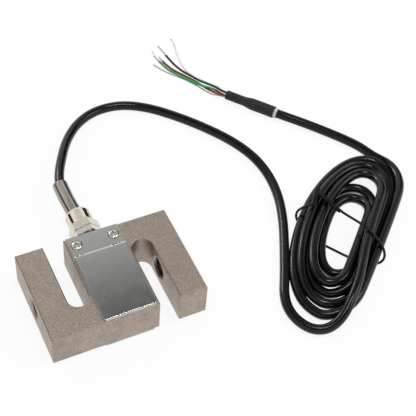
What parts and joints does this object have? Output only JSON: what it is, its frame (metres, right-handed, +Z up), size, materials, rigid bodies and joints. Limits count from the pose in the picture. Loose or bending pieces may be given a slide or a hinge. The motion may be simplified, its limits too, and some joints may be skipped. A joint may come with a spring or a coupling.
{
  "type": "s type load cell",
  "caption": "S-shaped shear-beam load cell with threaded ends, covered gauge pockets, cable gland and a tied hank of cable ending in bare wires.",
  "frame": {"origin": "bottom centre of the block with its covers, on the plane it rests on", "axes": "+X along the load axis through the two threaded holes, +Y out of the side the cable leaves, +Z up"},
  "size_m": [0.2065, 0.2191, 0.0216],
  "materials": {
    "nickel_plated_steel": "satin nickel plate over machined alloy steel",
    "cover_steel": "polished stainless sheet",
    "screw_steel": "bright plated steel",
    "gauge_foil": "polyimide film with constantan foil",
    "board": "glass-epoxy board with solder mask",
    "resistor": "chip resistor glaze",
    "lead_insulation": "fluoropolymer insulation",
    "silicone": "translucent silicone sealant",
    "gland_brass": "nickel-plated brass",
    "black_rubber": "moulded nitrile rubber",
    "sleeve_steel": "polished stainless tube",
    "cable_jacket": "glossy PVC jacket",
    "boot_shrink": "heat-shrink tubing",
    "clear_band": "clear adhesive film",
    "red_pvc": "coloured PVC insulation",
    "green_pvc": "coloured PVC insulation",
    "black_pvc": "coloured PVC insulation",
    "white_pvc": "coloured PVC insulation",
    "tinned_copper": "tinned copper strands",
    "tie_plastic": "plastic-coated wire"
  },
  "bodies": {
    "root": {"s_body": "nickel_plated_steel", "upper_cover": "cover_steel", "lower_cover": "cover_steel", "cover_screws": "screw_steel", "upper_strain_gauge": "gauge_foil", "lower_strain_gauge": "gauge_foil", "bridge_terminal_board": "board", "balance_resistors": "resistor", "bridge_leads": "lead_insulation", "upper_sealant": "silicone", "lower_sealant": "silicone", "gland_washer": "gland_brass", "gland_body": "gland_brass", "gland_seal": "black_rubber", "gland_thrust_ring": "gland_brass", "gland_nut": "gland_brass", "cable_sleeve": "sleeve_steel", "cable_lead": "cable_jacket", "cable_hank": "cable_jacket", "cable_tail": "cable_jacket", "twist_tie": "tie_plastic", "jacket_band": "clear_band", "shrink_boot": "boot_shrink", "wire_red": "red_pvc", "wire_green": "green_pvc", "wire_black": "black_pvc", "wire_white": "white_pvc", "tinned_tips": "tinned_copper", "drain_wire": "tinned_copper"}
  },
  "joints": []
}
